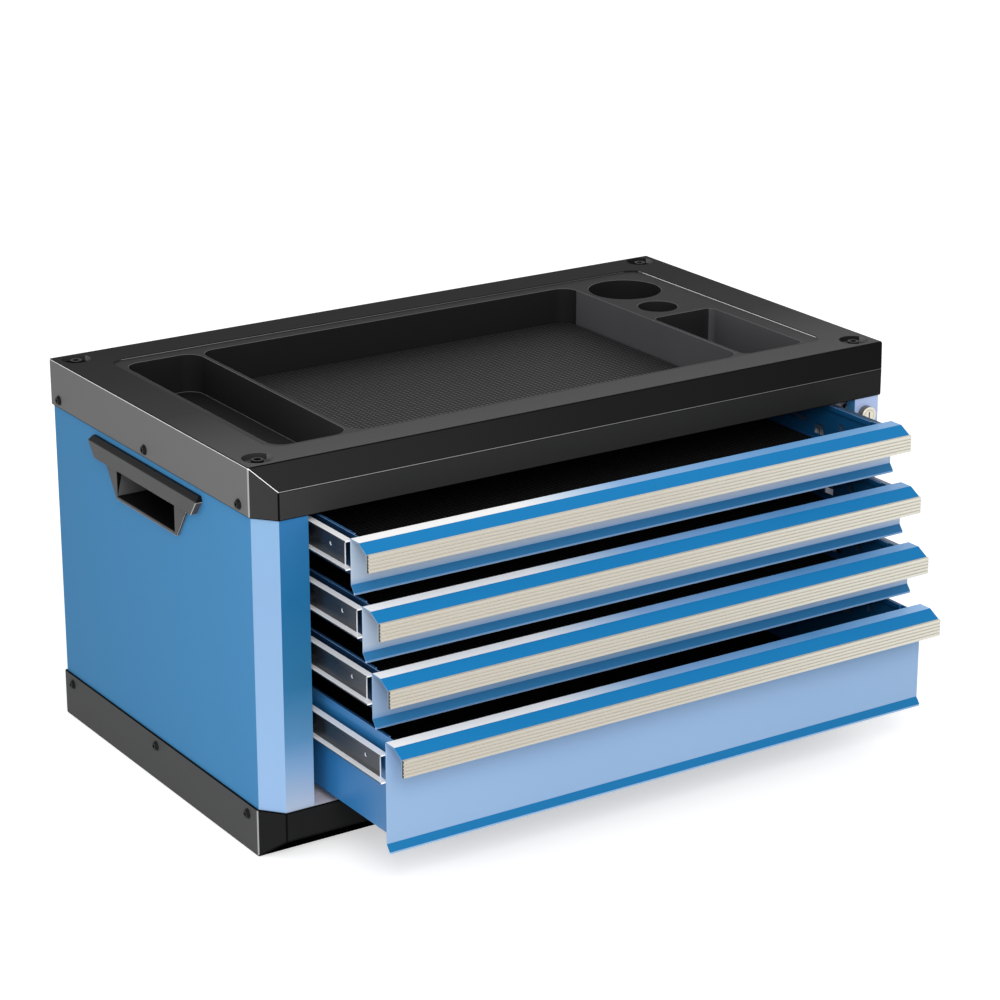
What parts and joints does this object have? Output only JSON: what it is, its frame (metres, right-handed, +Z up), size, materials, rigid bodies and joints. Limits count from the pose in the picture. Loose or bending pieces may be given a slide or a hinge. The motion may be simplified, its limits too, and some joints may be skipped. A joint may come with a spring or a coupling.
{
  "type": "portable tool box with drawers",
  "caption": "Portable sheet-steel tool box with drawers on ball slides, a moulded top tray with wells, recessed side grips and a key lock.",
  "frame": {"origin": "centre of the flat underside of the base moulding", "axes": "+X to the right across the drawers, drawers open towards -Y, +Z up"},
  "size_m": [0.7, 0.5459, 0.36],
  "materials": {
    "black_moulding": "moulded ABS with a fine matt grain",
    "tray_plastic": "moulded ABS, satin",
    "grip_plastic": "moulded glass-filled nylon, satin",
    "blue_enamel": "light blue powder coat, satin gloss",
    "galvanised_steel": "galvanised sheet",
    "zinc_steel": "bright zinc plate",
    "ball_steel": "bright steel balls in a zinc-plated cage",
    "black_screws": "black oxide",
    "mat_rubber": "foamed anti-slip rubber with a dimple grid",
    "drawer_enamel": "blue powder coat, satin gloss",
    "front_enamel": "light blue powder coat, satin gloss",
    "pull_aluminium": "champagne anodised, ribbed extrusion",
    "lock_nickel": "satin nickel plate"
  },
  "bodies": {
    "cabinet": {"base_frame": "black_moulding", "floor_plate": "galvanised_steel", "left_side_panel": "blue_enamel", "right_side_panel": "blue_enamel", "back_panel": "blue_enamel", "left_slide_posts": "galvanised_steel", "right_slide_posts": "galvanised_steel", "top_frame": "black_moulding", "tray": "tray_plastic", "tray_mat": "mat_rubber", "left_grip": "grip_plastic", "right_grip": "grip_plastic", "band_screws": "black_screws", "corner_screws": "black_screws", "rail_screws": "zinc_steel", "cabinet_rails_1": "zinc_steel", "cabinet_rails_2": "zinc_steel", "cabinet_rails_3": "zinc_steel", "cabinet_rails_4": "zinc_steel", "lock_housing": "lock_nickel", "lock_nut": "zinc_steel", "lock_bar_studs": "zinc_steel"},
    "drawer_1": {"drawer_1_box": "drawer_enamel", "drawer_1_front": "front_enamel", "drawer_1_pull": "pull_aluminium", "drawer_1_mat": "mat_rubber", "drawer_1_rails": "zinc_steel", "drawer_1_catch": "zinc_steel"},
    "cages_1": {"ball_cages_1": "ball_steel"},
    "drawer_2": {"drawer_2_box": "drawer_enamel", "drawer_2_front": "front_enamel", "drawer_2_pull": "pull_aluminium", "drawer_2_mat": "mat_rubber", "drawer_2_rails": "zinc_steel", "drawer_2_catch": "zinc_steel"},
    "cages_2": {"ball_cages_2": "ball_steel"},
    "drawer_3": {"drawer_3_box": "drawer_enamel", "drawer_3_front": "front_enamel", "drawer_3_pull": "pull_aluminium", "drawer_3_mat": "mat_rubber", "drawer_3_rails": "zinc_steel", "drawer_3_catch": "zinc_steel"},
    "cages_3": {"ball_cages_3": "ball_steel"},
    "drawer_4": {"drawer_4_box": "drawer_enamel", "drawer_4_front": "front_enamel", "drawer_4_pull": "pull_aluminium", "drawer_4_mat": "mat_rubber", "drawer_4_rails": "zinc_steel", "drawer_4_catch": "zinc_steel"},
    "cages_4": {"ball_cages_4": "ball_steel"},
    "lock_plug": {"lock_plug": "lock_nickel", "lock_cam": "zinc_steel"},
    "lock_bar": {"lock_bar": "zinc_steel", "lock_fingers": "zinc_steel"}
  },
  "joints": [
    {"name": "drawer_1_slide", "type": "slide", "parent": "cabinet", "child": "drawer_1", "axis": [0, -1, 0], "range_m": [-0.061, 0.201]},
    {"name": "drawer_2_slide", "type": "slide", "parent": "cabinet", "child": "drawer_2", "axis": [0, -1, 0], "range_m": [-0.0785, 0.1835]},
    {"name": "drawer_3_slide", "type": "slide", "parent": "cabinet", "child": "drawer_3", "axis": [0, -1, 0], "range_m": [-0.093, 0.169]},
    {"name": "drawer_4_slide", "type": "slide", "parent": "cabinet", "child": "drawer_4", "axis": [0, -1, 0], "range_m": [-0.1135, 0.1485]},
    {"name": "cages_1_slide", "type": "slide", "parent": "cabinet", "child": "cages_1", "axis": [0, -1, 0], "range_m": [-0.03055, 0.10055]},
    {"name": "cages_2_slide", "type": "slide", "parent": "cabinet", "child": "cages_2", "axis": [0, -1, 0], "range_m": [-0.0393, 0.0918]},
    {"name": "cages_3_slide", "type": "slide", "parent": "cabinet", "child": "cages_3", "axis": [0, -1, 0], "range_m": [-0.04655, 0.08455]},
    {"name": "cages_4_slide", "type": "slide", "parent": "cabinet", "child": "cages_4", "axis": [0, -1, 0], "range_m": [-0.0568, 0.0743]},
    {"name": "key_turn", "type": "hinge", "parent": "cabinet", "child": "lock_plug", "pos_m": [0.3105, -0.201, 0.2985], "axis": [0, 1, 0], "range_deg": [0, 95]},
    {"name": "lock_bar_lift", "type": "slide", "parent": "cabinet", "child": "lock_bar", "axis": [0, 0, 1], "range_m": [0, 0.00919]}
  ],
  "couplings": [
    {"joint": "cages_1_slide", "follows": "drawer_1_slide", "ratio": 0.5},
    {"joint": "cages_2_slide", "follows": "drawer_2_slide", "ratio": 0.5},
    {"joint": "cages_3_slide", "follows": "drawer_3_slide", "ratio": 0.5},
    {"joint": "cages_4_slide", "follows": "drawer_4_slide", "ratio": 0.5},
    {"joint": "key_turn", "follows": "lock_bar_lift", "rad_per_m": 170.88}
  ]
}
